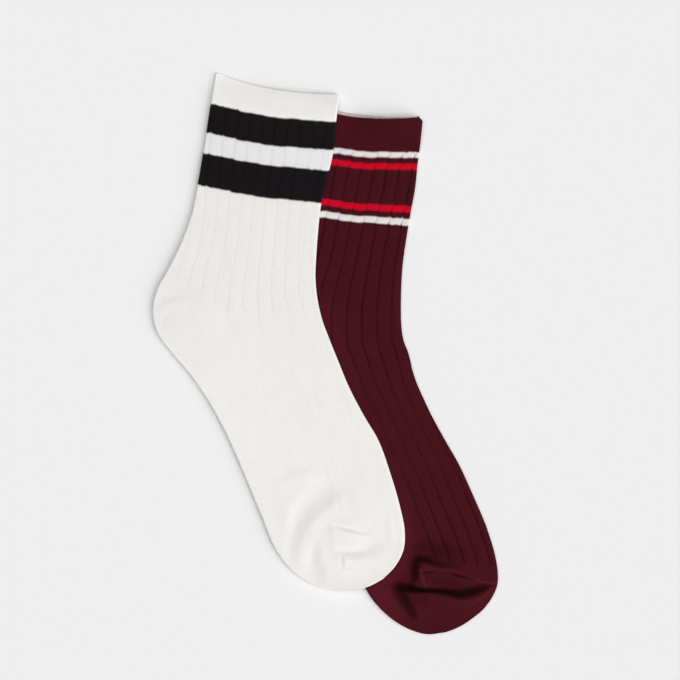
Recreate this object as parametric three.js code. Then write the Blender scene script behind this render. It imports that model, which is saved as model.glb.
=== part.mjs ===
// A pair of knitted crew socks laid flat on a surface, a white one lying over a maroon one.
// Millimetres, +Z up. +Y runs towards the cuffs, +X from the heel side to the instep side, and z = 0 is
// the surface that the socks lie on. The origin is on that surface, in the middle of the pair.
//
// Each sock is one hollow tube of knitted cloth: open at the cuff, closed at the toe, flattened so that
// its two layers lie on each other with a little air between them and a rounded fold down each side.
import * as THREE from "three";

// ---- sizes ----
const KNIT = 1.3; // wall of the ribbed leg and of the foot
const WELT = 1.6; // wall of the welt at the cuff, where the knit is turned double
const AIR = 0.6; // air between the two layers of a sock laid flat
const REST_GAP = 0.3; // clearance between the white sock and the maroon one under it
const RIM_STEP = 1.5; // how far the lower layer's rim reaches past the upper one's at mid cuff
const DRAPE_START = 3.0; // outside the maroon sock's outline, where the white one begins to come down
const DRAPE_RUN = 10.0; // and the distance over which it comes down to the surface
const TOE_POCKET = 6.5; // the hollow inside ends this far short of the tip of the toe
const CENTRE = { x: -0.108, y: 0.36 }; // middle of the pair's outline, in the frame of the tables
const STEPS = 2; // rings of points per row of a section table
const FOLD_POINTS = 3; // points round each side fold, between its two ends

const laid = (wall) => 2 * wall + AIR; // thickness of a sock laid flat
const smooth = (t) => THREE.MathUtils.smoothstep(t, 0, 1);

// ---- sections, from the cuff to the toe ----
// x, y: middle of the section; width: laid width between the two folds; tilt: degrees that the instep
// fold is above the heel fold; sag: how far the middle of the section hangs towards the toe.
const WHITE = [
  { at: "cuff_rim", x: -30.0, y: 169.9, width: 79.0, tilt: -10.1, sag: 4.4 },
  { at: "welt_foot", x: -32.4, y: 151.6, width: 79.6, tilt: -7.8, sag: 2.6 },
  { at: "band_1_foot", x: -34.9, y: 134.0, width: 80.1, tilt: -7.5, sag: 2.8 },
  { at: "band_2_top", x: -37.0, y: 120.5, width: 80.0, tilt: -7.2, sag: 2.5 },
  { at: "band_2_foot", x: -41.2, y: 100.9, width: 78.6, tilt: -8.3, sag: 2.1 },
  { at: "calf", x: -44.5, y: 82.1, width: 80.8, tilt: -7.6, sag: 1.3 },
  { at: "ankle", x: -48.3, y: 65.1, width: 85.8, tilt: -6.3, sag: 0.5 },
  { at: "heel_top", x: -52.6, y: 50.9, width: 93.1, tilt: -3.1, sag: 0.0 },
  { at: "heel_upper", x: -55.6, y: 39.5, width: 101.1, tilt: -0.7, sag: 0.0 },
  { at: "heel_point", x: -56.1, y: 28.2, width: 105.6, tilt: 1.4, sag: 0.0 },
  { at: "heel_lower", x: -53.4, y: 16.9, width: 105.4, tilt: 3.8, sag: 0.0 },
  { at: "heel_foot", x: -46.6, y: 5.2, width: 99.7, tilt: 5.8, sag: 0.0 },
  { at: "arch_back", x: -37.9, y: -8.3, width: 93.0, tilt: 6.6, sag: 0.0 },
  { at: "arch", x: -28.1, y: -26.3, width: 88.0, tilt: 7.4, sag: 0.0 },
  { at: "instep", x: -18.0, y: -45.8, width: 86.2, tilt: 10.5, sag: 0.0 },
  { at: "waist", x: -8.2, y: -65.4, width: 87.4, tilt: 14.6, sag: 0.0 },
  { at: "ball", x: 0.6, y: -87.9, width: 85.9, tilt: 18.2, sag: 0.0 },
  { at: "toe_root", x: 7.8, y: -108.0, width: 83.6, tilt: 19.6, sag: 0.0 },
  { at: "toe_wide", x: 14.6, y: -123.5, width: 75.9, tilt: 19.1, sag: 0.0 },
  { at: "toe_round", x: 20.8, y: -134.3, width: 60.6, tilt: 21.2, sag: 0.0 },
  { at: "toe_cap", x: 25.5, y: -141.4, width: 39.3, tilt: 22.9, sag: 0.0 },
  { at: "toe_end", x: 29.1, y: -144.5, width: 16.7, tilt: 25.0, sag: 0.0 },
];
const MAROON = [
  { at: "cuff_rim", x: 22.6, y: 153.0, width: 78.3, tilt: -7.2, sag: 4.5 },
  { at: "welt_foot", x: 20.4, y: 131.5, width: 78.4, tilt: -6.1, sag: 2.8 },
  { at: "band_top", x: 19.2, y: 123.7, width: 78.5, tilt: -5.9, sag: 2.8 },
  { at: "band_gap", x: 16.9, y: 109.0, width: 79.2, tilt: -6.6, sag: 2.6 },
  { at: "band_foot", x: 13.8, y: 94.4, width: 79.8, tilt: -7.2, sag: 2.3 },
  { at: "calf", x: 10.7, y: 78.0, width: 81.6, tilt: -7.1, sag: 1.5 },
  { at: "ankle", x: 6.5, y: 60.3, width: 85.1, tilt: -6.8, sag: 0.8 },
  { at: "heel_top", x: 1.5, y: 44.6, width: 93.2, tilt: -5.4, sag: 0.0 },
  { at: "heel_upper", x: -2.2, y: 30.6, width: 99.9, tilt: -1.6, sag: 0.0 },
  { at: "heel_point", x: -3.4, y: 15.3, width: 102.9, tilt: 3.9, sag: 0.0 },
  { at: "heel_lower", x: -1.1, y: 3.0, width: 101.5, tilt: 6.4, sag: 0.0 },
  { at: "heel_foot", x: 5.0, y: -8.8, width: 97.4, tilt: 9.1, sag: 0.0 },
  { at: "arch_back", x: 12.8, y: -23.3, width: 89.6, tilt: 9.9, sag: 0.0 },
  { at: "arch", x: 23.4, y: -42.0, width: 84.8, tilt: 9.0, sag: 0.0 },
  { at: "instep", x: 34.4, y: -63.2, width: 83.8, tilt: 12.6, sag: 0.0 },
  { at: "waist", x: 44.2, y: -82.8, width: 84.4, tilt: 17.1, sag: 0.0 },
  { at: "ball", x: 52.7, y: -104.4, width: 86.4, tilt: 20.0, sag: 0.0 },
  { at: "toe_root", x: 61.6, y: -125.2, width: 86.1, tilt: 19.2, sag: 0.0 },
  { at: "toe_wide", x: 69.6, y: -144.7, width: 80.6, tilt: 16.8, sag: 0.0 },
  { at: "toe_round", x: 77.0, y: -158.1, width: 65.7, tilt: 20.5, sag: 0.0 },
  { at: "toe_cap", x: 81.6, y: -168.2, width: 39.5, tilt: 23.6, sag: 0.0 },
  { at: "toe_end", x: 82.8, y: -172.0, width: 14.3, tilt: 25.1, sag: 0.0 },
];
// Where the knitted pockets of heel and toe hold more cloth than lies flat, the upper layer stands up in
// a soft swell. x, y: its middle; along, across: its two radii; turn: degrees from +X to along.
const WHITE_SWELLS = [
  { at: "heel_pocket", x: -87.0, y: 24.0, along: 17, across: 12, turn: 60, height: 1.0 },
  { at: "toe_pocket", x: 13.0, y: -113.0, along: 24, across: 18, turn: 20, height: 1.7 },
];
const MAROON_SWELLS = [
  { at: "toe_end_pocket", x: 74.0, y: -154.0, along: 21, across: 10, turn: 15, height: 1.7 },
];
// How far the tip of the toe is past the last section, and the points across each layer of a ring.
const LAYOUT = {
  white: { tip: 0.8, across: 14 },
  maroon: { tip: 0.8, across: 8 },
};

// ---- the sock's plan ----
// Smooth curves through the two folds of a table's sections, and the sag between them.
function planOf(table, tipReach) {
  const fold = (side) =>
    new THREE.CatmullRomCurve3(
      table.map(({ x, y, width, tilt }) => {
        const a = THREE.MathUtils.degToRad(tilt);
        return new THREE.Vector3(
          x + ((side * width) / 2) * Math.cos(a),
          y + ((side * width) / 2) * Math.sin(a),
          0,
        );
      }),
    );
  const instep = fold(1),
    heel = fold(-1);
  const rows = table.length - 1;
  // The section at a place along the sock, 0 at the cuff rim and rows at the last section.
  const section = (s) => {
    const f = instep.getPoint(s / rows),
      h = heel.getPoint(s / rows);
    const across = f.clone().sub(h),
      width = across.length();
    across.normalize();
    const i = Math.min(rows - 1, Math.floor(s));
    const sag = THREE.MathUtils.lerp(table[i].sag, table[i + 1].sag, s - i);
    return {
      middle: f.add(h).multiplyScalar(0.5),
      across,
      toeward: new THREE.Vector3(across.y, -across.x, 0),
      width,
      sag,
    };
  };
  const last = section(rows);
  const tip = last.middle.clone().addScaledVector(last.toeward, tipReach);
  return { instep, heel, rows, section, tip };
}

// Distance from a point to a sock's outline, negative inside it.
function outlineOf(plan, samples = 100) {
  const loop = [];
  for (let i = 0; i <= samples; i++) loop.push(plan.instep.getPoint(i / samples));
  loop.push(plan.tip);
  for (let i = samples; i >= 0; i--) loop.push(plan.heel.getPoint(i / samples));
  const nearest = new THREE.Vector3();
  const edge = new THREE.Line3();
  return (x, y) => {
    const p = new THREE.Vector3(x, y, 0);
    let inside = false,
      best = Infinity;
    loop.forEach((a, i) => {
      const b = loop[(i + 1) % loop.length];
      if (a.y > y !== b.y > y && x < a.x + ((y - a.y) / (b.y - a.y)) * (b.x - a.x))
        inside = !inside;
      edge.set(a, b).closestPointToPoint(p, true, nearest);
      best = Math.min(best, nearest.distanceTo(p));
    });
    return inside ? -best : best;
  };
}

// Height of a table's swells at a point.
const swellOf = (table) => (x, y) =>
  table.reduce((sum, { x: cx, y: cy, along, across, turn, height }) => {
    const a = THREE.MathUtils.degToRad(turn);
    const u = ((x - cx) * Math.cos(a) + (y - cy) * Math.sin(a)) / along;
    const v = ((y - cy) * Math.cos(a) - (x - cx) * Math.sin(a)) / across;
    return sum + height * Math.exp(-(u * u + v * v));
  }, 0);

// ---- one sock ----
// Rings of points round the tube. skin 1 is the outside, and skin 0 the inside, which is the outside
// moved in by the wall.
function sockGeometry(plan, across, swell, lift) {
  const ringSize = 2 * (across + 1) + 2 * FOLD_POINTS;

  function ring(s, skin) {
    const { middle, across: dir, toeward, width, sag } = plan.section(s);
    const wall = s <= 1 ? WELT : KNIT;
    const full = laid(wall) / 2;
    // the toe rounds down to its tip as the side folds do
    const toTip = Math.min(1, middle.distanceTo(plan.tip) / full);
    const half = full * Math.sqrt(1 - (1 - toTip) ** 2);
    const radius = skin ? half : full - wall;
    const reach = width / 2 - half; // from the middle to the centre of each side fold
    const rim = Math.max(0, 1 - s); // 1 at the cuff rim, 0 from the foot of the welt
    const points = [];
    const add = (u, v) => {
      const bow = 1 - (u / (width / 2)) ** 2;
      const hang = (sag - (v < 0 ? RIM_STEP * rim : 0)) * bow;
      const p = middle.clone().addScaledVector(dir, u).addScaledVector(toeward, hang);
      // the upper layer swells; the lower one lies flat
      p.z = full + v + lift(p.x, p.y) + (Math.max(0, v) / radius) * swell(p.x, p.y);
      points.push(p);
    };
    for (let i = 0; i <= across; i++) add(reach * ((2 * i) / across - 1), radius);
    for (let i = 1; i <= FOLD_POINTS; i++) {
      const a = Math.PI * (0.5 - i / (FOLD_POINTS + 1));
      add(reach + radius * Math.cos(a), radius * Math.sin(a));
    }
    for (let i = across; i >= 0; i--) add(reach * ((2 * i) / across - 1), -radius);
    for (let i = 1; i <= FOLD_POINTS; i++) {
      const a = Math.PI * (-0.5 - i / (FOLD_POINTS + 1));
      add(-reach + radius * Math.cos(a), radius * Math.sin(a));
    }
    return points;
  }

  const vertices = [],
    faces = [];
  const push = (points) => {
    const start = vertices.length / 3;
    points.forEach((p) => vertices.push(p.x, p.y, p.z));
    return start;
  };
  const band = (a, b, flip) => {
    for (let i = 0; i < ringSize; i++) {
      const j = (i + 1) % ringSize;
      const quad = [a + j, a + i, b + i, b + j];
      if (flip) quad.reverse();
      faces.push(quad[0], quad[1], quad[2], quad[0], quad[2], quad[3]);
    }
  };
  const close = (a, tipPoint, flip) => {
    const t = push([tipPoint]);
    for (let i = 0; i < ringSize; i++) {
      const j = (i + 1) % ringSize;
      faces.push(...(flip ? [a + i, a + j, t] : [a + j, a + i, t]));
    }
  };

  const stations = Array.from({ length: plan.rows * STEPS + 1 }, (_, i) => i / STEPS);
  const outer = stations.map((s) => push(ring(s, 1)));
  for (let i = 1; i < outer.length; i++) band(outer[i - 1], outer[i], false);
  const outerTip = plan.tip.clone();
  outerTip.z = laid(KNIT) / 2 + lift(outerTip.x, outerTip.y);
  close(outer.at(-1), outerTip, false);

  const hollow = stations.filter(
    (s) => plan.section(s).middle.distanceTo(plan.tip) > TOE_POCKET,
  );
  const inner = hollow.map((s) => push(ring(s, 0)));
  for (let i = 1; i < inner.length; i++) band(inner[i - 1], inner[i], true);
  const end = plan.section(hollow.at(-1));
  const innerTip = end.middle.clone().addScaledVector(end.toeward, 1);
  innerTip.z = laid(KNIT) / 2 + lift(innerTip.x, innerTip.y);
  close(inner.at(-1), innerTip, true);

  band(inner[0], outer[0], false); // the rim of the cuff joins the two skins

  const geometry = new THREE.BufferGeometry();
  geometry.setAttribute("position", new THREE.Float32BufferAttribute(vertices, 3));
  geometry.setIndex(faces);
  geometry.computeVertexNormals();
  return geometry;
}

// ---- the pair ----
const maroonPlan = planOf(MAROON, LAYOUT.maroon.tip);
const whitePlan = planOf(WHITE, LAYOUT.white.tip);
const maroonSwell = swellOf(MAROON_SWELLS);
const toMaroon = outlineOf(maroonPlan);
const maroonRim = maroonPlan.section(0);

// The height that the white sock is raised by where it lies over the maroon one: full over it, and
// coming down smoothly to the surface outside its outline.
function overMaroon(x, y) {
  const off = toMaroon(x, y);
  const fromRim = new THREE.Vector3(x, y, 0).sub(maroonRim.middle).dot(maroonRim.toeward);
  const overWelt = 1 - smooth((fromRim - 27) / 10);
  const top =
    THREE.MathUtils.lerp(laid(KNIT), laid(WELT), overWelt) + maroonSwell(x, y) + REST_GAP;
  return top * (1 - smooth((off - DRAPE_START) / DRAPE_RUN));
}

const pair = new THREE.Group();
pair.name = "pair_of_socks";
pair.position.set(-CENTRE.x, -CENTRE.y, 0);

const maroon = new THREE.Mesh(
  sockGeometry(maroonPlan, LAYOUT.maroon.across, maroonSwell, () => 0),
  new THREE.MeshStandardMaterial({ color: 0x42141c, roughness: 0.92, metalness: 0 }),
);
maroon.name = "maroon_sock";

const white = new THREE.Mesh(
  sockGeometry(whitePlan, LAYOUT.white.across, swellOf(WHITE_SWELLS), overMaroon),
  new THREE.MeshStandardMaterial({ color: 0xeae8e5, roughness: 0.92, metalness: 0 }),
);
white.name = "white_sock";

pair.add(maroon, white);

export default pair;
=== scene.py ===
import math

import bmesh
import bpy
import numpy as np
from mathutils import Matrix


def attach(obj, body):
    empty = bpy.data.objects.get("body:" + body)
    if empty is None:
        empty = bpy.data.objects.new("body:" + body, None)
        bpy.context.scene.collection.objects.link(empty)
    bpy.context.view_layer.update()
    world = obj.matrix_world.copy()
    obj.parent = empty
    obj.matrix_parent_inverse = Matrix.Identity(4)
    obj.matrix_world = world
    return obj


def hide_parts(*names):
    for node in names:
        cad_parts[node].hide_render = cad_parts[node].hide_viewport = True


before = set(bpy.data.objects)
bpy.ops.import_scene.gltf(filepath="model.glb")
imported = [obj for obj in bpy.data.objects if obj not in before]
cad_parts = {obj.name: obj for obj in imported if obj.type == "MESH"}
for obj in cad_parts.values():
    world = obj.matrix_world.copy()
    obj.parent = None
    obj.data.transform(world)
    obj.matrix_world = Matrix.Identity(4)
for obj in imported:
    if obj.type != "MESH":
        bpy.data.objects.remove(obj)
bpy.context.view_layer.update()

MM = 0.001
PHOTO_MM = 428.4  # width of the photograph's frame where the socks lie
CAMERA_AT = (9.37, 8.21)  # the point under the middle of the frame
OUTLINE_UP = 1.6  # the height at which the frame has that width: where the socks' sides are widest

# ---- sizes of the cloth in millimetres, as the solids have them ----
CENTRE = (-0.108, 0.36)
KNIT = 1.3
WELT = 1.6
AIR = 0.6
REST_GAP = 0.3
DRAPE_START = 3.0
TOE_POCKET = 6.5
TIP_REACH = 0.8

# ---- sizes that only the fine cloth has ----
ROW_STEP = 1.85  # along the sock, between rings of points
TOE_STEP = 0.8  # the same where the toe's folds are
INNER_STEP = 14.0  # the same two for the inner skin
INNER_TOE_STEP = 2.2
TOE_LENGTH = 78.0
LAYER_POINTS = 126  # across each layer of a ring
FOLD_POINTS = 11  # round each side fold
FOLD_POWER = 2.7  # 2 is a round fold, more is squarer
UPPER_RUN = 60.0  # how far the upper layer takes to come down beside the other sock, and the lower one
LOWER_RUN = 14.0
CUFF_DROP = 0.82  # how much of that height its cuff loses past the other cuff
RIBS_ROUND = 21
WALES_PER_RIB = 6
COURSE = 0.85  # height of one row of stitches

WHITE_ROWS = [
    # row, x, y, width, tilt, sag
    ("cuff_rim", -30.0, 169.9, 79.0, -10.1, 4.4),
    ("welt_foot", -32.6, 151.7, 80.0, -8.7, 3.0),
    ("band_1_foot", -34.8, 133.7, 81.1, -8.15, 3.0),
    ("band_2_top", -37.2, 120.85, 80.4, -8.3, 2.1),
    ("band_2_foot", -41.4, 100.65, 79.0, -8.65, 2.2),
    ("calf", -44.5, 82.1, 80.8, -7.6, 1.3),
    ("ankle", -48.3, 65.1, 85.8, -6.3, 0.5),
    ("heel_top", -52.6, 50.9, 93.1, -3.1, 0.0),
    ("heel_upper", -55.8, 39.5, 100.7, -0.7, 0.0),
    ("heel_point", -56.4, 28.2, 105.0, 1.4, 0.0),
    ("heel_lower", -53.8, 16.9, 104.7, 3.8, 0.0),
    ("heel_foot", -47.1, 5.2, 99.2, 5.8, 0.0),
    ("arch_back", -38.5, -8.4, 92.8, 6.6, 0.0),
    ("arch", -28.7, -26.4, 87.9, 7.4, 0.0),
    ("instep", -18.5, -45.9, 86.2, 10.5, 0.0),
    ("waist", -8.7, -65.6, 87.3, 14.6, 0.0),
    ("ball", 0.1, -88.1, 85.7, 18.2, 0.0),
    ("toe_root", 7.3, -108.2, 83.3, 19.6, 0.0),
    ("toe_wide", 14.2, -123.6, 75.6, 19.1, 0.0),
    ("toe_round", 20.8, -134.3, 60.6, 21.2, 0.0),
    ("toe_cap", 25.5, -141.4, 39.3, 22.9, 0.0),
    ("toe_end", 29.1, -144.5, 16.7, 25.0, 0.0),
]
MAROON_ROWS = [
    ("cuff_rim", 22.6, 152.7, 78.3, -7.2, 5.4),
    ("welt_foot", 20.4, 131.5, 78.4, -6.1, 3.3),
    ("band_top", 19.2, 123.7, 78.5, -5.9, 3.2),
    ("band_gap", 17.1, 109.0, 79.6, -6.6, 3.0),
    ("band_foot", 14.1, 94.4, 80.4, -7.2, 2.8),
    ("calf", 10.7, 78.0, 81.6, -7.1, 1.5),
    ("ankle", 6.5, 60.3, 85.1, -6.8, 0.8),
    ("heel_top", 1.5, 44.6, 93.2, -5.4, 0.0),
    ("heel_upper", -2.2, 30.6, 99.9, -1.6, 0.0),
    ("heel_point", -3.4, 15.3, 102.9, 3.9, 0.0),
    ("heel_lower", -1.1, 3.0, 101.5, 6.4, 0.0),
    ("heel_foot", 5.0, -8.8, 97.4, 9.1, 0.0),
    ("arch_back", 12.8, -23.3, 89.6, 9.9, 0.0),
    ("arch", 23.4, -42.0, 84.8, 9.0, 0.0),
    ("instep", 34.4, -63.2, 83.8, 12.6, 0.0),
    ("waist", 44.2, -82.8, 84.4, 17.1, 0.0),
    ("ball", 52.7, -104.4, 86.4, 20.0, 0.0),
    ("toe_root", 61.6, -125.2, 86.1, 19.2, 0.0),
    ("toe_wide", 69.6, -144.9, 80.6, 16.8, 0.0),
    ("toe_round", 77.0, -158.3, 66.4, 20.5, 0.0),
    ("toe_cap", 81.5, -168.3, 41.3, 23.6, 0.0),
    ("toe_end", 82.6, -172.15, 16.0, 25.1, 0.0),
]
# Where the pockets of heel and toe hold more cloth than lies flat.
WHITE_SWELLS = [
    # name, x, y, radius along, radius across, turn, height
    ("heel_pocket", -84.0, 20.0, 19, 14, 60, 0.6),
    ("toe_pocket", 13.0, -113.0, 25, 19, 20, 1.3),
]
MAROON_SWELLS = [
    ("toe_end_pocket", 74.0, -154.0, 21, 10, 15, 1.7),
    ("toe_top_pocket", 64.0, -132.0, 20, 9, -5, 1.3),
    ("cuff_mouth", 41.0, 152.0, 21, 12, -7, 3.4),
]

# Rib grooves. row: place along the sock in rows of the table above; first: the groove nearest the instep
# fold, and pitch: the distance to the next, both as a part of the sock's width at that row.
WHITE_RIBS = [
    # row, first, pitch
    (0.0, 0.080, 0.0985),
    (2.5, 0.075, 0.0985),
    (4.2, 0.058, 0.0960),
    (5.0, 0.057, 0.0935),
    (6.0, 0.045, 0.0905),
    (7.0, 0.023, 0.0905),
    (8.0, 0.025, 0.0865),
    (9.0, 0.012, 0.0880),
    (11.0, 0.035, 0.0880),
    (13.0, 0.070, 0.0920),
    (15.0, 0.090, 0.0930),
    (22.0, 0.095, 0.0930),
]
MAROON_RIBS = [
    (0.0, 0.034, 0.1003),
    (1.2, 0.034, 0.1003),
    (3.0, 0.050, 0.1015),
    (4.4, 0.060, 0.0985),
    (5.0, 0.055, 0.0985),
    (7.0, 0.062, 0.0940),
    (9.0, 0.060, 0.0925),
    (11.0, 0.085, 0.0920),
    (13.0, 0.105, 0.0935),
    (15.0, 0.1375, 0.0925),
    (17.0, 0.145, 0.0940),
    (22.0, 0.150, 0.0940),
]
# How deep the grooves are from row to row on the leg and on the instep, and from rib to rib.
WHITE_LEG = [(1.0, 0.75), (3.2, 0.72), (4.2, 0.42), (6.5, 0.38), (7.5, 0.5), (8.5, 0.65)]
MAROON_LEG = [(1.0, 1.0), (9.0, 1.0)]
WHITE_INSTEP = [(3.2, 0.72), (4.2, 0.42), (5.5, 0.4), (6.5, 0.5), (7.5, 0.62), (8.6, 0.6), (10.0, 0.22), (12.0, 0.14), (14.5, 0.10), (16.0, 0.0)]
MAROON_INSTEP = [(11.0, 1.0), (13.0, 0.5), (14.5, 0.55), (16.0, 1.0), (17.0, 1.15)]
WHITE_EACH = [(0, 0.8), (1, 0.75), (2, 1.0), (3, 1.05), (4, 1.25), (5, 0.9), (6, 0.9), (7, 1.15), (8, 1.1), (9, 1.15)]
MAROON_EACH = [(0, 1.0), (2, 1.1), (4, 0.85), (6, 1.1), (8, 1.0)]
# The row where the leg's ribs end in the heel's plain knit, and the instep's in the toe's, by how far
# across the sock they are.
HEEL_LINE = [(0.44, 9.1), (0.54, 9.0), (0.62, 8.6), (0.73, 8.2), (0.84, 7.8), (0.95, 7.4), (1.0, 7.3)]
TOE_LINE = [(0.0, 18.0), (0.15, 17.8), (0.25, 17.6), (0.35, 17.45), (0.44, 17.2), (0.5, 17.1)]
SOLE_EDGE = 0.455  # the instep's ribs end this far across

# Folds and creases, in the millimetres of the rows above. A line runs from left to right or upwards, and on
# its right the cloth rises with the slope given, evenly from a trough at the first reach to a crest at the
# second, and then comes back. A negative slope falls. The strength is the part of the slope at each
# point of the line. Light lost inside is painted shade, which darkens the cloth's colour in the fold; where it
# is negative it is a painted highlight, which makes the colour paler along a line or over a patch.
WHITE_FOLDS = [
    # name, slope, reach on the cuff side, reach on the toe side, length of its way back in reaches,
    # painted shade inside (negative: painted highlight), line of (x, y, strength, part of the reach)
    ("toe_crescent", 0.116, 3.5, 3.5, 1, 0, [(-17.7, -134.1, 0.1, 0.5), (-18.7, -128.4, 0.75, 0.65), (-18.7, -122.1, 1, 0.8), (-17.1, -114.5, 1.05, 0.9), (-13.6, -107.3, 1.05, 1), (-8.9, -100.7, 1.1, 1.1), (-3.2, -94.7, 1.3, 1.25), (1.2, -90.9, 1.5, 1.4), (5.0, -87.1, 1.25, 1.35), (7.5, -85.1, 0.4, 1.2)]),
    ("toe_crescent_bright", -0.09, 2.6, 2.6, 1.2, 0, [(-22.1, -108.9, 0.5, 1), (-20.9, -100.7, 1, 1), (-17.7, -95.0, 1, 1), (-12.7, -89.3, 0.6, 1)]),
    ("toe_inner_bright", -0.06, 3, 3, 1.6, 0, [(-5.8, -117.7, 0.5, 1), (-3.9, -110.8, 1, 1), (-1.3, -104.5, 0.6, 1)]),
    ("toe_side_bright", -0.08, 1.8, 1.8, 1.6, 0, [(-10.2, -136.6, 0.4, 1), (-10.8, -129.7, 1, 1), (-10.5, -123.4, 0.5, 1)]),
    ("toe_outer_arc", 0.09, 2.4, 2.4, 1.6, 0, [(-30.3, -80.5, 0.4, 1), (-24.7, -77.4, 0.9, 1), (-17.7, -73.9, 1, 1), (-10.2, -73.0, 1, 1), (-3.2, -74.9, 0.4, 1)]),
    ("toe_second", 0.15, 2.7, 2.7, 1.2, 0, [(-1.3, -144.8, 0.1, 0.7), (-2.6, -140.4, 0.8, 1.1), (-3.9, -134.7, 1, 1.3), (-4.8, -129.0, 1, 1.1), (-4.8, -123.4, 0.8, 0.8), (-4.5, -119.0, 0.4, 0.55)]),
    ("toe_second_slack", 0.06, 5, 5, 1.2, 0, [(3.7, -146.0, 0.2, 1), (3.1, -139.1, 1, 1), (2.8, -133.4, 1, 0.9), (2.4, -129.0, 0.3, 0.6)]),
    ("toe_hook", 0.27, 1.3, 3.2, 1.4, 0.02, [(10.6, -124.9, 0.3, 0.8), (13.8, -125.4, 1.3, 0.9), (17.6, -125.6, 1.2, 1), (22.6, -125.1, 0.95, 1.1), (27.0, -123.7, 0.5, 1.2), (32.0, -121.2, 0.2, 1.2)]),
    ("toe_hook_start", 0.26, 1.3, 1.3, 1.3, 0.02, [(6.2, -124.0, 0.2, 1), (9.4, -124.9, 1, 1), (13.1, -125.6, 0.5, 1), (15.7, -125.9, 0.1, 1)]),
    ("toe_hook_side", 0.14, 0.9, 0.9, 1.3, 0.01, [(11.6, -134.1, 0.6, 1), (11.1, -130.3, 1, 1), (10.6, -127.1, 0.5, 1)]),
    ("toe_hook_foot", 0.15, 0.9, 0.9, 1.2, 0.02, [(10.0, -134.7, 0.5, 1), (13.1, -134.9, 1, 1), (16.9, -134.4, 0.6, 1), (20.1, -133.8, 0.1, 1)]),
    ("toe_front_slack", 0.075, 5, 5, 1.3, 0, [(23.2, -130.9, 0.4, 1), (28.9, -126.5, 1, 1), (33.9, -120.8, 1, 1), (37.7, -115.2, 0.4, 1)]),
    ("toe_spot", 0.11, 1.2, 1.2, 1.2, 0, [(5.3, -116.4, 0.4, 1), (3.7, -112.3, 1, 1), (2.1, -107.6, 0.7, 1)]),
    ("toe_front_line", 0.1, 1.4, 1.4, 1.6, 0, [(40.2, -118.3, 0.3, 1), (39.6, -112.7, 1, 1), (39.0, -105.7, 1, 1), (39.6, -100.7, 0.3, 1)]),
    ("toe_front_line_2", 0.08, 1.2, 1.2, 1.6, 0, [(45.3, -109.5, 0.3, 1), (44.6, -103.8, 1, 1), (43.4, -97.5, 0.6, 1)]),
    ("toe_seam_fold", 0.5, 0.85, 0.85, 1.6, 0.05, [(4.3, -108.2, 0.2, 1), (10.0, -109.7, 0.8, 1), (15.7, -111.1, 1.1, 1), (20.1, -112.0, 1.1, 1), (24.5, -113.2, 0.7, 1), (28.9, -113.8, 0.1, 1)]),
    ("toe_seam_ridge", -0.15, 0.9, 0.9, 1.6, 0, [(7.5, -107.4, 0.3, 1), (13.1, -108.4, 1, 1), (18.8, -109.6, 0.8, 1), (22.6, -110.9, 0.1, 1)]),
    ("toe_gore", 0.13, 1, 1, 1.6, 0, [(3.7, -82.4, 0.5, 1), (1.5, -75.5, 1, 1), (-1.3, -68.6, 0.5, 1)]),
    ("toe_mark", 0.09, 1, 1, 1.3, 0.01, [(10.6, -100.7, 0.3, 1), (9.7, -95.6, 1, 1), (8.4, -88.7, 0.7, 1)]),
    ("ball_slack", 0.05, 5.5, 5.5, 1.4, 0, [(15.0, -97.5, 0.3, 1), (13.8, -91.9, 1, 1), (13.8, -86.2, 1, 1), (16.3, -78.6, 0.3, 1)]),
    ("heel_arc", 0.11, 2.1, 2.4, 1.4, 0, [(-109.1, 27.2, 0.3, 1.3), (-105.9, 30.4, 0.6, 1.3), (-100.9, 33.3, 1, 1.1), (-95.2, 34.4, 1.3, 0.95), (-88.9, 34.6, 1.3, 0.85), (-83.9, 34.1, 0.5, 0.7), (-80.1, 33.5, 0.1, 0.7)]),
    ("heel_dent", 0.09, 1.6, 1.6, 1.4, 0, [(-101.8, 14.6, 0.3, 1), (-100.9, 19.0, 1, 1), (-99.0, 23.7, 0.6, 1)]),
    ("heel_dent_2", 0.06, 1.3, 1.3, 1.6, 0, [(-95.8, 16.5, 0.3, 1), (-95.8, 20.9, 1, 1), (-95.5, 25.3, 0.4, 1)]),
    ("heel_slack", 0.02, 7, 7, 1.6, 0, [(-81.4, -16.9, 0.4, 1), (-81.4, -5.6, 1, 1), (-80.7, 5.2, 1, 1), (-76.9, 16.5, 0.5, 1)]),
    ("gore", 0.08, 3, 3.4, 1.4, 0, [(-56.2, 11.5, 0.3, 1), (-57.4, 17.1, 1, 1.05), (-59.6, 22.8, 1, 0.9), (-61.5, 29.1, 0.6, 0.8)]),
]
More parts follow.
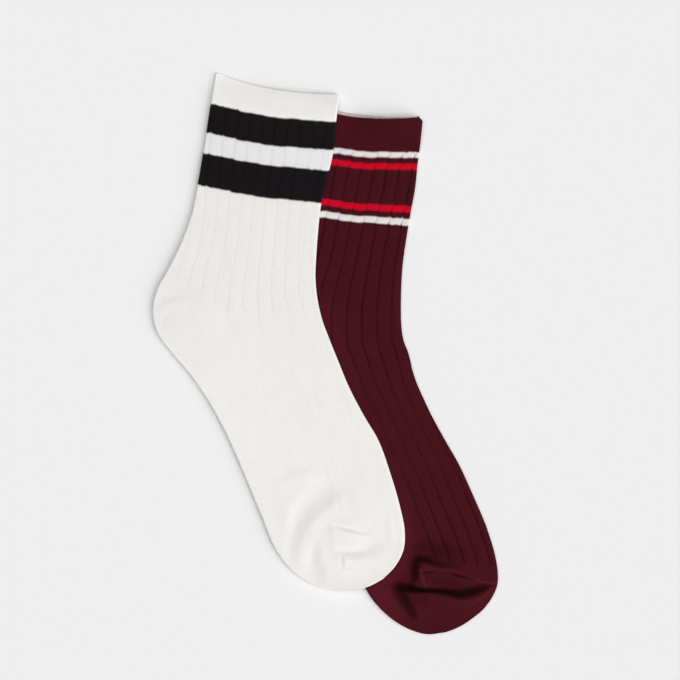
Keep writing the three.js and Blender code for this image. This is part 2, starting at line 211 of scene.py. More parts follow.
MAROON_FOLDS = [
    # name, slope, reach on the cuff side, reach on the toe side, length of its way back in reaches,
    # painted shade inside (negative: painted highlight), line of (x, y, strength, part of the reach)
    ("toe_pleat", 0.9, 2.2, 2.4, 1.6, 0.74, [(41.2, -146.4, 0.2, 0.8), (44.0, -146.8, 0.7, 1.25), (49.1, -147.2, 0.72, 1.25), (54.7, -148.1, 0.82, 0.9), (62.3, -148.9, 1, 0.66), (68.6, -149.2, 1.05, 0.66), (74.3, -149.8, 1.05, 0.78), (79.3, -150.7, 1.02, 0.95), (85.0, -151.5, 0.97, 1.12), (90.0, -150.7, 0.92, 1.15), (94.4, -149.3, 0.85, 1.1), (98.8, -147.8, 0.75, 0.95), (102.6, -146.4, 0.4, 0.8), (105.8, -145.2, 0.05, 0.7)]),
    ("toe_pleat_lip", -0.5, 0.8, 1, 1.6, -0.2, [(90.0, -158.6, 0.2, 1), (95.0, -155.5, 0.8, 1), (100.1, -152.0, 1, 1), (103.9, -148.2, 0.6, 1)]),
    ("toe_dimple_side", 0.8, 2.9, 2.4, 1.6, 0.55, [(55.4, -145.4, 0.3, 0.8), (56.3, -140.4, 0.85, 0.9), (56.9, -134.7, 0.9, 0.95), (58.2, -130.3, 0.5, 0.9)]),
    ("toe_dimple", 0.8, 2.8, 2.1, 1.6, 0.6, [(54.7, -130.3, 0.2, 0.7), (59.1, -129.7, 0.8, 1), (64.2, -130.6, 1, 1), (69.8, -132.5, 0.8, 0.85), (76.1, -133.8, 0.6, 0.7), (81.8, -134.7, 0.2, 0.6)]),
    ("toe_dimple_slack", 0.25, 3.5, 3.5, 1.6, 0.12, [(54.7, -124.0, 0.3, 1), (60.4, -122.4, 1, 1), (66.7, -123.4, 0.7, 1), (73.6, -125.3, 0.3, 1)]),
    ("toe_gusset", -0.7, 0.75, 0.75, 1.6, -0.4, [(63.2, -146.7, 0.5, 1), (61.7, -142.9, 1, 1), (60.6, -139.1, 1, 1), (60.1, -136.0, 0.5, 1)]),
    ("toe_gusset_foot", -0.6, 0.7, 0.7, 1.6, -0.35, [(62.9, -146.7, 0.6, 1), (65.1, -145.4, 1, 1), (66.7, -143.5, 0.3, 1)]),
    ("toe_seam", -0.6, 0.75, 0.75, 1.6, -0.36, [(59.8, -136.0, 0.7, 1), (64.8, -135.5, 0.8, 1), (72.4, -135.8, 0.5, 1), (79.9, -136.6, 0.4, 1), (86.2, -138.6, 0.5, 1), (92.5, -141.3, 0.9, 1), (99.5, -143.5, 1.4, 1), (106.4, -144.7, 1.4, 1)]),
    ("toe_seam_foot", 0.9, 0.9, 0.9, 1.6, 0.45, [(75.5, -136.9, 0.2, 1), (79.9, -138.5, 0.8, 1), (85.0, -140.2, 1.1, 1), (90.0, -141.6, 0.9, 1), (94.4, -142.9, 0.1, 1)]),
    ("toe_seam_corner", 0.9, 0.9, 0.9, 1.6, 0.4, [(59.1, -137.2, 0.5, 1), (62.9, -137.5, 1, 1), (66.7, -137.5, 0.7, 1), (71.1, -137.5, 0.1, 1)]),
    ("toe_end_valley", 0.55, 3.2, 3.2, 1.6, 0.42, [(57.2, -168.7, 0.1, 0.7), (55.4, -164.3, 0.85, 0.85), (52.8, -159.9, 1.05, 1), (49.7, -154.9, 1.2, 1.2), (46.9, -149.8, 0.95, 1.3)]),
    ("toe_end_shade", 0, 6, 6, 1.6, 0.28, [(54.7, -151.7, 0.8, 1), (59.8, -155.5, 1, 1), (59.1, -161.8, 0.3, 0.7)]),
    ("toe_front_shade", 0, 3.2, 3.2, 1.6, 0.24, [(66.1, -142.9, 0.6, 1), (73.6, -143.5, 1, 1), (82.4, -145.4, 1, 1), (90.0, -146.0, 0.4, 1)]),
    ("toe_rib_shade", 0, 6, 6, 1.6, 0.24, [(62.3, -120.8, 0.6, 1), (69.8, -123.4, 1, 1), (77.4, -125.9, 1, 1), (85.0, -129.7, 0.5, 1)]),
    ("sole_light", 0, 3.2, 3.2, 1.6, -0.2, [(49.7, -86.2, 0.3, 1), (50.9, -100.1, 0.8, 1), (51.6, -111.4, 1, 1), (50.9, -122.7, 0.8, 1), (48.4, -134.1, 1, 1), (43.4, -141.6, 0.8, 1)]),
    ("toe_sole_light", 0, 9, 9, 1.6, -0.36, [(33.3, -145.4, 0.8, 1), (37.1, -153.6, 1, 1), (43.4, -163.7, 1, 1), (50.9, -171.2, 0.4, 0.8)]),
    ("toe_front_light", 0, 2.6, 2.6, 1.6, -0.2, [(108.3, -140.4, 0.6, 1), (106.4, -147.9, 1, 1), (101.3, -155.5, 0.7, 1), (93.8, -163.1, 0.3, 1)]),
    ("heel_light", 0, 6, 6, 1.6, -0.14, [(-2.0, 36.0, 0.5, 1), (1.8, 20.9, 1, 1), (7.5, 3.3, 1, 1), (15.7, -15.6, 0.4, 1)]),
    ("leg_front_light", 0, 2.2, 2.2, 1.6, -0.2, [(49.7, 73.8, 0.4, 1), (46.5, 57.4, 1, 1), (45.9, 33.5, 1, 1), (45.3, 15.9, 0.5, 1)]),
]


# ---- the plan of a sock ----
def catmull(points, s):
    """A centripetal Catmull-Rom curve through points, s from 0 to the last one's number."""
    P = np.asarray(points, float)
    n = len(P)
    i = np.clip(np.floor(s).astype(int), 0, n - 2)
    w = (s - i)[:, None]
    p1, p2 = P[i], P[i + 1]
    p0 = np.where((i > 0)[:, None], P[np.maximum(i - 1, 0)], 2 * P[0] - P[1])
    p3 = np.where((i + 2 < n)[:, None], P[np.minimum(i + 2, n - 1)], 2 * P[-1] - P[-2])

    def gap(a, b):
        return np.sqrt(np.linalg.norm(a - b, axis=1))[:, None]

    d0, d1, d2 = gap(p0, p1), gap(p1, p2), gap(p2, p3)
    t1 = ((p1 - p0) / d0 - (p2 - p0) / (d0 + d1) + (p2 - p1) / d1) * d1
    t2 = ((p2 - p1) / d1 - (p3 - p1) / (d1 + d2) + (p3 - p2) / d2) * d1
    return p1 + t1 * w + (-3 * p1 + 3 * p2 - 2 * t1 - t2) * w**2 + (2 * p1 - 2 * p2 + t1 + t2) * w**3


def smooth(t):
    t = np.clip(t, 0, 1)
    return t * t * (3 - 2 * t)


def ramp(t, ease=0.22):
    """From 0 to 1 in a straight line that is eased at its ends."""
    t = np.clip(t, 0, 1)
    low = t * t / (2 * ease)
    mid = ease / 2 + (t - ease)
    high = 1 - ease - (1 - t) ** 2 / (2 * ease)
    return np.where(t < ease, low, np.where(t < 1 - ease, mid, high)) / (1 - ease)


class Plan:
    def __init__(self, rows):
        self.rows = len(rows) - 1
        a = np.radians([r[4] for r in rows])
        mid = np.array([[r[1] - CENTRE[0], r[2] - CENTRE[1]] for r in rows])
        half = np.array([r[3] for r in rows])[:, None] / 2
        way = np.stack([np.cos(a), np.sin(a)], 1)
        self.instep, self.heel = mid + half * way, mid - half * way
        self.sags = np.array([r[5] for r in rows])
        dense = np.linspace(0, self.rows, 4001)
        m, _, _, _, _ = self.section(dense)
        self.dense = dense
        self.length = np.concatenate([[0], np.cumsum(np.linalg.norm(np.diff(m, axis=0), axis=1))])
        last = self.section(np.array([float(self.rows)]))
        self.tip = last[0][0] + last[2][0] * TIP_REACH

    def section(self, s):
        f, h = catmull(self.instep, s), catmull(self.heel, s)
        across = f - h
        width = np.linalg.norm(across, axis=1)
        across = across / width[:, None]
        toeward = np.stack([across[:, 1], -across[:, 0]], 1)
        sag = np.interp(s, np.arange(self.rows + 1), self.sags)
        return (f + h) / 2, across, toeward, width, sag

    def along(self, s):
        """Millimetres from the cuff's rim."""
        return np.interp(s, self.dense, self.length)

    def spaced(self, step, toe_step=None):
        """Rows that are no further apart than step anywhere across the sock, or than toe_step near the toe."""
        f, h = catmull(self.instep, self.dense), catmull(self.heel, self.dense)
        d = np.maximum(np.linalg.norm(np.diff(f, axis=0), axis=1), np.linalg.norm(np.diff(h, axis=0), axis=1))
        if toe_step:
            near_toe = smooth((self.length[1:] - self.length[-1] + TOE_LENGTH) / 12)
            d = d / (1 + (toe_step / step - 1) * near_toe)
        run = np.concatenate([[0], np.cumsum(d)])
        n = int(math.ceil(run[-1] / step))
        return np.interp(np.linspace(0, run[-1], n + 1), run, self.dense)

    def point(self, s, q):
        m, across, toeward, width, sag = self.section(np.asarray(s, float))
        u = (1 - 2 * np.asarray(q, float)) * width / 2
        bow = 1 - (2 * u / width) ** 2
        return m + across * u[:, None] + toeward * (sag * bow)[:, None]

    def outline(self, samples=160):
        t = np.linspace(0, self.rows, samples)
        return np.vstack([catmull(self.instep, t), self.tip[None], catmull(self.heel, t)[::-1]])


def off_outline(loop, xy):
    """Distance from points to a closed outline, negative inside."""
    best = np.full(len(xy), 1e9)
    inside = np.zeros(len(xy), bool)
    for a, b in zip(loop, np.roll(loop, -1, axis=0)):
        d = b - a
        t = np.clip(((xy - a) @ d) / max(d @ d, 1e-12), 0, 1)
        best = np.minimum(best, np.linalg.norm(xy - a - t[:, None] * d, axis=1))
        if a[1] != b[1]:
            cross = (a[1] > xy[:, 1]) != (b[1] > xy[:, 1])
            inside ^= cross & (xy[:, 0] < a[0] + (xy[:, 1] - a[1]) / (b[1] - a[1]) * (b[0] - a[0]))
    return np.where(inside, -best, best)


def swells(table, xy):
    out = np.zeros(len(xy))
    for _, cx, cy, along, across, turn, height in table:
        a = math.radians(turn)
        d = xy - (np.array([cx, cy]) - CENTRE)
        u = (d[:, 0] * math.cos(a) + d[:, 1] * math.sin(a)) / along
        v = (d[:, 1] * math.cos(a) - d[:, 0] * math.sin(a)) / across
        out += height * np.exp(-(u * u + v * v))
    return out


def beside(line, xy, reach):
    """For points near a line of (x, y, strength, width): which they are, how far they are to its right, and the
    strength, which dies away past its ends, and width there."""
    pts = np.array(line)
    t = np.linspace(0, len(pts) - 1, 8 * (len(pts) - 1) + 1)
    path = catmull(pts[:, :2] - CENTRE, t)
    strength, wide = (np.interp(t, np.arange(len(pts)), pts[:, c]) for c in (2, 3))
    centre, half = (path.max(0) + path.min(0)) / 2, (path.max(0) - path.min(0)) / 2
    near = (np.abs(xy - centre) < half + 6 * reach).all(1)
    p = xy[near]
    best, right, part, width = np.full(len(p), 1e9), np.zeros(len(p)), np.zeros(len(p)), np.ones(len(p))
    last = len(path) - 2
    for i in range(last + 1):
        d = path[i + 1] - path[i]
        long = np.linalg.norm(d)
        d = d / long
        o = p - path[i]
        run = o @ d
        f = np.clip(run / long, 0, 1)
        side = o @ np.array([d[1], -d[0]])
        dist = np.hypot(side, run - f * long)
        past = np.where((i == 0) & (run < 0), -run, np.where((i == last) & (run > long), run - long, 0))
        x = np.where(past > 0, side, np.sign(side) * dist)
        k = (strength[i] * (1 - f) + strength[i + 1] * f) * np.exp(-((past / reach) ** 2))
        closer = dist < best
        best, right, part = np.where(closer, dist, best), np.where(closer, x, right), np.where(closer, k, part)
        width = np.where(closer, wide[i] * (1 - f) + wide[i + 1] * f, width)
    return near, right, part, width


def creases(table, xy):
    """The folds' height at points, and the painted shade inside them, a painted highlight where it is negative."""
    out, dark = np.zeros(len(xy)), np.zeros(len(xy))
    for _, slope, cuff, toe, slow, shade, line in table:
        near, x, part, width = beside(line, xy, max(cuff, toe))
        a = np.where(x < 0, cuff, toe) * width
        rise = x / (1 + (x / a) ** 6) ** (1 / 6)
        back = np.exp(-0.5 * (np.maximum(np.abs(x) - a, 0) / (slow * a)) ** 2)
        out[near] += slope * part * rise * back
        # painted shade along the fold's trough side, or a painted highlight where the shade is negative
        if shade:
            o = x + 0.25 * cuff * width if slope > 0 else x
            dark[near] += shade * part * np.exp(-((np.abs(o) / (1.05 * a)) ** 3.6))
    return out, np.clip(dark, -0.6, 0.85)


def ripple(xy, seed, amount, waves):
    """Low unevenness of cloth that isn't ironed: a sum of seeded sine waves."""
    rng = np.random.default_rng(seed)
    out = np.zeros(len(xy))
    for wave in waves:
        for _ in range(5):
            a, ph = rng.uniform(0, math.pi), rng.uniform(0, 2 * math.pi)
            f = 2 * math.pi / (wave * rng.uniform(0.75, 1.3))
            out += np.sin(f * (xy[:, 0] * math.cos(a) + xy[:, 1] * math.sin(a)) + ph)
    return amount * out / (5 * len(waves)) * 2


# ---- one sock ----
def ribs(table, rows, q, upper):
    """The rib that a point lies on, as a number that is whole in each groove."""
    t = np.array(table)
    first = np.interp(rows, t[:, 0], t[:, 1])
    pitch = np.interp(rows, t[:, 0], t[:, 2])
    return np.where(upper, (q - first) / pitch, -first / pitch - q * (RIBS_ROUND - 1 / pitch)), pitch


def rib_depth(rows, q, leg, instep):
    """How much of the ribs' relief there is: all on the leg, some on the instep, none on the pockets and sole."""
    start = smooth((rows - 1.02) / 0.12)
    heel = 1 - smooth((rows - np.interp(q, *zip(*HEEL_LINE)) + 0.25) / 0.5)
    front = np.interp(rows, *zip(*instep))
    toe = 1 - smooth((rows - np.interp(q, *zip(*TOE_LINE)) + 0.1) / 0.2)
    on_instep = 1 - smooth((q - SOLE_EDGE + 0.02) / 0.04)
    return start * np.maximum(heel * (rows < 10) * np.interp(rows, *zip(*leg)), on_instep * front * toe)


def sock(name, plan, rib_table, leg, instep, each, swell_table, fold_table, seed, lift, painted_drape_light, groove_size, corner, rim_step, rim_loop, rim_thin):
    """A sock's cloth: rings of points round the tube, the outer skin from the rim to the toe, joined at the
    rim to the inner skin."""
    M, E = LAYER_POINTS, FOLD_POINTS
    # a ring starts at the middle of the heel fold and goes over the top
    lay = np.linspace(-1, 1, M)
    quarter = np.radians(np.linspace(90, 0, (E + 1) // 2 + 1))[1:]  # from the layer's end to the middle
    back_up = np.radians(180) - quarter[::-1]
    front = np.concatenate([quarter, -quarter[-2::-1]])
    back_down = -np.radians(180) + quarter[:-1]
    ang = np.concatenate([back_up, np.full(M, math.pi / 2), front, np.full(M, -math.pi / 2), back_down])
    pos = np.concatenate([np.full(len(back_up), -1.0), lay, np.ones(len(front)), -lay, np.full(len(back_down), -1.0)])
    R = len(ang)
    flat = np.abs(np.abs(ang) - math.pi / 2) < 1e-9
    square = lambda v: np.sign(v) * np.abs(v) ** (2 / FOLD_POWER)
    cos_r, sin_r = np.where(flat, 0, square(np.cos(ang))), square(np.where(np.abs(np.sin(ang)) < 1e-9, 0, np.sin(ang)))
    upper = sin_r > -1e-9

    foot_mm = float(plan.along(np.array([1.0]))[0])

    def wall_at(s):
        """The thickness of one layer: the welt's, less towards its rim where it is pressed flat, and the knit's."""
        down = float(plan.along(np.array([s]))[0])
        welt = WELT - rim_thin * (1 - smooth(down / 20))
        return float(welt + (KNIT - WELT) * smooth((down - foot_mm + 0.9) / 1.5))

    def ring(s, inset, reach_out, tip_part, plain):
        """Points of one ring: inset from the outer skin, moved cuffwards by reach_out, and past the last row by
        a part of the tip's reach."""
        mid, across, toeward, width, sag = (a[0] for a in plan.section(np.array([min(s, plan.rows)])))
        pressed = 0.8 * (rim_thin > 0) * (1 - smooth(plan.along(np.array([s]))[0] / 15))
        full = wall_at(s) + AIR / 2 * (1 - pressed)
        left = np.linalg.norm(mid + toeward * TIP_REACH * tip_part - plan.tip)
        d = min(1.0, left / full)
        half = full * math.sqrt(max(0.0, 1 - (1 - d) ** 2))
        radius = max(0.0, half - inset) if tip_part < 1 else 0.0
        reach = width / 2 - half
        if tip_part > 0:
            reach = width / 2 - radius
        round_in = max(0.0, 1 - plan.along(np.array([s]))[0] / corner)
        reach -= corner * (1 - math.sqrt(1 - round_in * round_in))
        u = pos * reach + cos_r * radius
        v = sin_r * radius
        bow = 1 - (2 * u / width) ** 2
        rim = max(0.0, 1 - s)
        hang = (sag - np.where(upper, 0, rim_step * rim)) * bow - reach_out + TIP_REACH * tip_part * bow
        xy = mid + across * u[:, None] + toeward * hang[:, None]
        return xy, full + v, half, width, u

    # rows of the outer skin, from just inside the rim's rounding to past the last row
    rows = plan.spaced(ROW_STEP, TOE_STEP)
    at_rim = np.interp([0.3, 0.7, 1.2, 1.8, 2.5], plan.length, plan.dense)
    rows = np.sort(np.concatenate([rows[:1], at_rim, rows[rows > at_rim[-1] + 0.3 * rows[1]]]))
    outer = [(s, 0.0, 0.0, 0.0) for s in rows] + [(float(plan.rows), 0.0, t, 0.0) for t in (0.35, 0.65, 0.88)]
    edge = wall_at(0.0)
    rim = [(0.0, edge / 2 * math.sin(a), 0.0, edge / 2 * (1 - math.cos(a))) for a in np.radians([150, 120, 90, 60, 30])]
    pocket = plan.spaced(INNER_STEP, INNER_TOE_STEP)
    mids = plan.section(pocket)[0]
    pocket = pocket[np.linalg.norm(mids - plan.tip, axis=1) > TOE_POCKET]
    start = [r for r in (0.12, 0.3, 0.6) if r < pocket[1]]
    inner = [(s, 0.0, 0.0, wall_at(s)) for s in [*pocket[:0:-1], *start[::-1], 0.0]]

    # inner skin from the toe to the rim, round it, and the outer skin back to the toe
    rings, kinds = [], []
    for s, out, tip_part, ins in inner + rim + outer:
        xy, z, half, width, u = ring(s, ins, out, tip_part, False)
        rings.append((s, xy, z, half, width, u))
    n_in, n_rim = len(inner), len(rim)
    N = len(rings)
    S = np.repeat([r[0] for r in rings], R)
    XY = np.vstack([r[1] for r in rings])
    Z = np.concatenate([r[2] for r in rings])
    W = np.repeat([r[4] for r in rings], R)
    U = np.concatenate([r[5] for r in rings])
    UP = np.tile(upper, N)
    COS, SIN = np.tile(cos_r, N), np.tile(sin_r, N)
    OUT = np.repeat(np.arange(N) >= n_in, R)  # the rim counts as outer
    Q = np.clip(0.5 - U / W, 0, 1)

    # relief of the ribs, inwards along the ring's own direction
    k, pitch = ribs(rib_table, S, Q, UP)
    wobble = ripple(XY, seed + 1, 0.035, (9, 23))
    cell = np.abs((k + wobble) - np.round(k + wobble))
    mm = cell * pitch * W
    depth = rib_depth(S, Q, leg, instep) * np.interp(np.abs(np.round(k)), *zip(*each)) * OUT
    uneven = 1 + ripple(XY, seed + 2, 0.25, (6, 17))
    groove_depth, groove_half, groove_crown = groove_size
    groove = np.exp(-((mm / groove_half) ** 2)) * depth
    crown = (np.clip(mm / (0.5 * pitch * W), 0, 1)) ** 2
    relief = -groove_depth * groove * uneven - groove_crown * (1 - crown) * depth
    # the welt stands a little proud of its foot, and its edge is a row of loops
    along = plan.along(S)
    foot = plan.along(np.array([1.0]))[0]
    relief -= 0.22 * np.exp(-(((along - foot - 0.4) / 0.7) ** 2)) * OUT

    # the upper layer's own shape
    weight = np.clip(SIN, 0, 1)
    body = swells(swell_table, XY)
    edge_fade = smooth(Q / 0.05) * smooth((1 - Q) / 0.05)
    folds, dark = creases(fold_table, XY)
    # painted shade of the folds, less the painted light beside the other sock, on the upper layer's outer face only
    dark = (dark - painted_drape_light(XY)) * UP * OUT
    fine = folds * (0.25 + 0.75 * edge_fade) + ripple(XY, seed + 3, 0.07, (14, 31)) * edge_fade
    room = 0.9 * AIR + 0.95 * body  # the upper layer sinks no lower than the lower one
    Z = Z + weight * (body + np.where(fine < 0, room * np.tanh(fine / room), fine))
    across = np.repeat(plan.section(np.minimum([r[0] for r in rings], plan.rows))[1], R, axis=0)
    XY = XY + across * (COS * relief)[:, None]
    Z = Z + SIN * relief
    # loops on the rim of the upper layer, every second point, more of them towards the instep
    ring_no = np.repeat(np.arange(N), R)
    loops = ((ring_no >= n_in - 1) & (ring_no < n_in + n_rim + 1) & UP) * (np.tile(np.arange(R), N) % 2)
    toeward = np.repeat(plan.section(np.minimum([r[0] for r in rings], plan.rows))[2], R, axis=0)
    amount = rim_loop * (0.3 + 0.7 * smooth((U + 3) / 10)) * (1 + ripple(XY, seed + 5, 0.5, (2, 5)))
    XY = XY - toeward * (amount * loops)[:, None]
    Z = np.maximum(Z, 0) + lift(XY, (1 + SIN) / 2)

    verts = [np.column_stack([XY, Z])]
    # each end closes along a line, where the ring's upper and lower points meet
    mirror = np.zeros(R, int)
    for j in range(R):
        same = np.where((np.abs(pos - pos[j]) < 1e-6) & (np.abs(cos_r - cos_r[j]) < 1e-6) & (np.abs(sin_r + sin_r[j]) < 1e-6))[0]
        mirror[j] = same[0]

    def closing(s, tip_part, extra, at):
        xy, z, *_ = ring(s, 99, 0, tip_part, False)
        xy = xy + plan.section(np.array([min(s, plan.rows)]))[2][0] * extra
        p = np.column_stack([xy, z + lift(xy, (1 + sin_r) / 2)])
        ids = np.zeros(R, int)
        base = at
        new = []
        for j in range(R):
            m = mirror[j]
            if j <= m:
                ids[j] = base + len(new)
                new.append((p[j] + p[m]) / 2)
            else:
                ids[j] = ids[m]
        return ids, np.array(new)

    count = N * R
    toe_ids, toe_pts = closing(float(plan.rows), 1.0, 0.0, count)
    verts.append(toe_pts)
    count += len(toe_pts)
    in_ids, in_pts = closing(float(pocket[-1]), 0.0, 0.4, count)
    verts.append(in_pts)

    # faces, with the rib number and the distance from the rim as their surface coordinates
    nxt = (np.arange(R) + 1) % R
    quads, uv = [], []
    kk = k.reshape(N, R)
    vv = (along.reshape(N, R) - np.repeat([e[1] for e in inner + rim + outer], R).reshape(N, R)) / 10
    vv = vv + np.array([0.08 * e[2] for e in inner + rim + outer])[:, None]

    def band(a, b, ka, kb, va, vb):
        quads.append(np.column_stack([a, a[nxt], b[nxt], b]))
        ka2, kb2 = ka[nxt].copy(), kb[nxt].copy()
        ka2[-1] -= RIBS_ROUND
        kb2[-1] -= RIBS_ROUND
        c = np.stack([np.column_stack([ka, va]), np.column_stack([ka2, va[nxt]]), np.column_stack([kb2, vb[nxt]]), np.column_stack([kb, vb])], 1)
        uv.append(c)

    ids = np.arange(N * R).reshape(N, R)
    band(in_ids, ids[0], kk[0], kk[0], vv[0] + 0.05, vv[0])
    for i in range(N - 1):
        band(ids[i], ids[i + 1], kk[i], kk[i + 1], vv[i], vv[i + 1])
    band(ids[-1], toe_ids, kk[-1], kk[-1], vv[-1], vv[-1] + 0.02)
    quads = np.vstack(quads)
    uv = np.vstack(uv)
    verts = np.vstack(verts) * MM

    mesh = bpy.data.meshes.new(name)
    mesh.vertices.add(len(verts))
    mesh.vertices.foreach_set("co", verts.ravel())
    mesh.loops.add(quads.size)
    mesh.loops.foreach_set("vertex_index", quads[:, ::-1].ravel().astype(np.int32))
    mesh.polygons.add(len(quads))
    mesh.polygons.foreach_set("loop_start", (np.arange(len(quads)) * 4).astype(np.int32))
    mesh.polygons.foreach_set("loop_total", np.full(len(quads), 4, np.int32))
    layer = mesh.uv_layers.new(name="Knit")
    layer.data.foreach_set("uv", uv[:, ::-1].reshape(-1, 2).ravel())
    g = mesh.attributes.new("groove", "FLOAT", "POINT")
    pad = np.zeros(len(verts))
    pad[: len(groove)] = groove
    g.data.foreach_set("value", pad)
    # painted shade and painted light, kept for the material to darken or brighten the colour
    c = mesh.attributes.new("painted_shading", "FLOAT", "POINT")
    pad = np.zeros(len(verts))
    pad[: len(dark)] = dark
    c.data.foreach_set("value", pad)
    inside = mesh.attributes.new("inside", "FLOAT", "POINT")
    pad = np.ones(len(verts))
    pad[: N * R] = np.repeat([1.0] * n_in + [1.0, 1.0, 0.85, 0.3, 0.0] + [0.0] * (N - n_in - n_rim), R)
    pad[N * R : N * R + len(toe_pts)] = 0
    inside.data.foreach_set("value", pad)
    mesh.update()
    mesh.validate()
    # points that meet at the ends of the toe's closing line become one, so no face there has a side of no length
    bm = bmesh.new()
    bm.from_mesh(mesh)
    bmesh.ops.remove_doubles(bm, verts=bm.verts[:], dist=2e-7)
    bm.to_mesh(mesh)
    bm.free()
    mesh.polygons.foreach_set("use_smooth", np.ones(len(mesh.polygons), bool))
    obj = bpy.data.objects.new(name, mesh)
    bpy.context.scene.collection.objects.link(obj)
    return obj


white_plan, maroon_plan = Plan(WHITE_ROWS), Plan(MAROON_ROWS)
maroon_loop = maroon_plan.outline()
white_loop = white_plan.outline()
maroon_rim = maroon_plan.section(np.array([0.0]))
# the same outline with the leg prolonged past its cuff
maroon_long = np.vstack([maroon_loop[:1] - 60 * maroon_rim[2], maroon_loop, maroon_loop[-1:] - 60 * maroon_rim[2]])


def over_maroon(xy, upper):
    """How far the white sock is raised where it lies over the maroon one. upper: 1 on the upper layer, which
    comes down slowly beside it, 0 on the lower layer."""
    side = off_outline(maroon_long, xy)
    from_rim = (xy - maroon_rim[0][0]) @ maroon_rim[2][0]
    over_welt = 1 - smooth((from_rim - 27) / 10)
    crests = np.maximum(creases(MAROON_FOLDS, xy)[0], 0)
    top = 2 * KNIT + AIR + over_welt * 2 * (WELT - KNIT) + swells(MAROON_SWELLS, xy) + crests + REST_GAP
    low = (1 - smooth((side - DRAPE_START) / LOWER_RUN)) * (1 - smooth((-from_rim - 0.5) / 7))
    high = (1 - ramp((side - DRAPE_START) / UPPER_RUN)) * (1 - CUFF_DROP * smooth((-from_rim - 0.5) / 12))
    return top * (low + np.maximum(high - low, 0) * upper)


def painted_light_beside_maroon(xy):
    """Painted light: how much paler the white sock's cloth is made where it comes down beside the maroon one and past
    its cuff, sloping from the light, and round its folded edge on the ground up to the toe's end, where the edge lies
    in shade."""
    side = off_outline(maroon_long, xy)
    edge = off_outline(white_loop, xy)
    painted_edge_light = smooth((edge + 1.6) / 1.2) * smooth((side - 2) / 8) * smooth((xy[:, 1] + 150) / 12)
    past_cuff = smooth((2 - (xy - maroon_rim[0][0]) @ maroon_rim[2][0]) / 8) * (1 - smooth((side - 2) / 34))
    return 0.03 * smooth((side + 4) / 26) * (1 - smooth((side - 50) / 20)) + 0.18 * painted_edge_light + 0.05 * past_cuff


def maroon_cuff(xy, upper):
    """The maroon sock's cuff stands off the ground where the white one doesn't hold it down."""
    from_rim = (xy - maroon_rim[0][0]) @ maroon_rim[2][0]
    return 2.0 * (1 - smooth((from_rim + 2) / 20)) * smooth((xy[:, 0] - 14) / 22)


maroon = sock("maroon_knit_sock", maroon_plan, MAROON_RIBS, MAROON_LEG, MAROON_INSTEP, MAROON_EACH, MAROON_SWELLS, MAROON_FOLDS, 11, maroon_cuff, lambda xy: 0, (0.42, 0.55, 0.10), 2.4, 2.4, 0.75, 0.0)
white = sock("white_knit_sock", white_plan, WHITE_RIBS, WHITE_LEG, WHITE_INSTEP, WHITE_EACH, WHITE_SWELLS, WHITE_FOLDS, 47, over_maroon, painted_light_beside_maroon, (0.20, 0.44, 0.04), 1.0, 0.7, 0.12, 0.8)


# ---- materials ----
def srgb(r, g, b):
    return tuple(c / 255 / 12.92 if c <= 10.3 else ((c / 255 + 0.055) / 1.055) ** 2.4 for c in (r, g, b))


class Nodes:
    def __init__(self, material):
        self.tree = material.node_tree
        self.tree.nodes.clear()

    def new(self, kind, **settings):
        n = self.tree.nodes.new(kind)
        for key, value in settings.items():
            setattr(n, key, value)
        return n

    def put(self, socket, value):
        if isinstance(value, bpy.types.NodeSocket):
            self.tree.links.new(value, socket)
        else:
            socket.default_value = value

    def math(self, op, a, b=0.0, c=0.0):
        n = self.new("ShaderNodeMath", operation=op)
        for i, v in enumerate((a, b, c)):
            self.put(n.inputs[i], v)
        return n.outputs[0]

    def step(self, value, edge, width):
        """0 below edge, 1 above it, over width."""
        n = self.new("ShaderNodeMapRange", interpolation_type="SMOOTHSTEP", clamp=True)
        self.put(n.inputs["Value"], value)
        self.put(n.inputs["From Min"], edge - width / 2)
        self.put(n.inputs["From Max"], edge + width / 2)
        return n.outputs["Result"]

    def mix(self, part, a, b, kind="MIX"):
        n = self.new("ShaderNodeMix", data_type="RGBA", blend_type=kind)
        self.put(n.inputs[0], part)
        self.put(n.inputs[6], (*a, 1) if isinstance(a, tuple) else a)
        self.put(n.inputs[7], (*b, 1) if isinstance(b, tuple) else b)
        return n.outputs[2]

    def noise(self, vector, scale, detail=2.0, rough=0.5):
        n = self.new("ShaderNodeTexNoise")
        self.put(n.inputs["Vector"], vector)
        self.put(n.inputs["Scale"], scale)
        self.put(n.inputs["Detail"], detail)
        self.put(n.inputs["Roughness"], rough)
        return n.outputs[0]


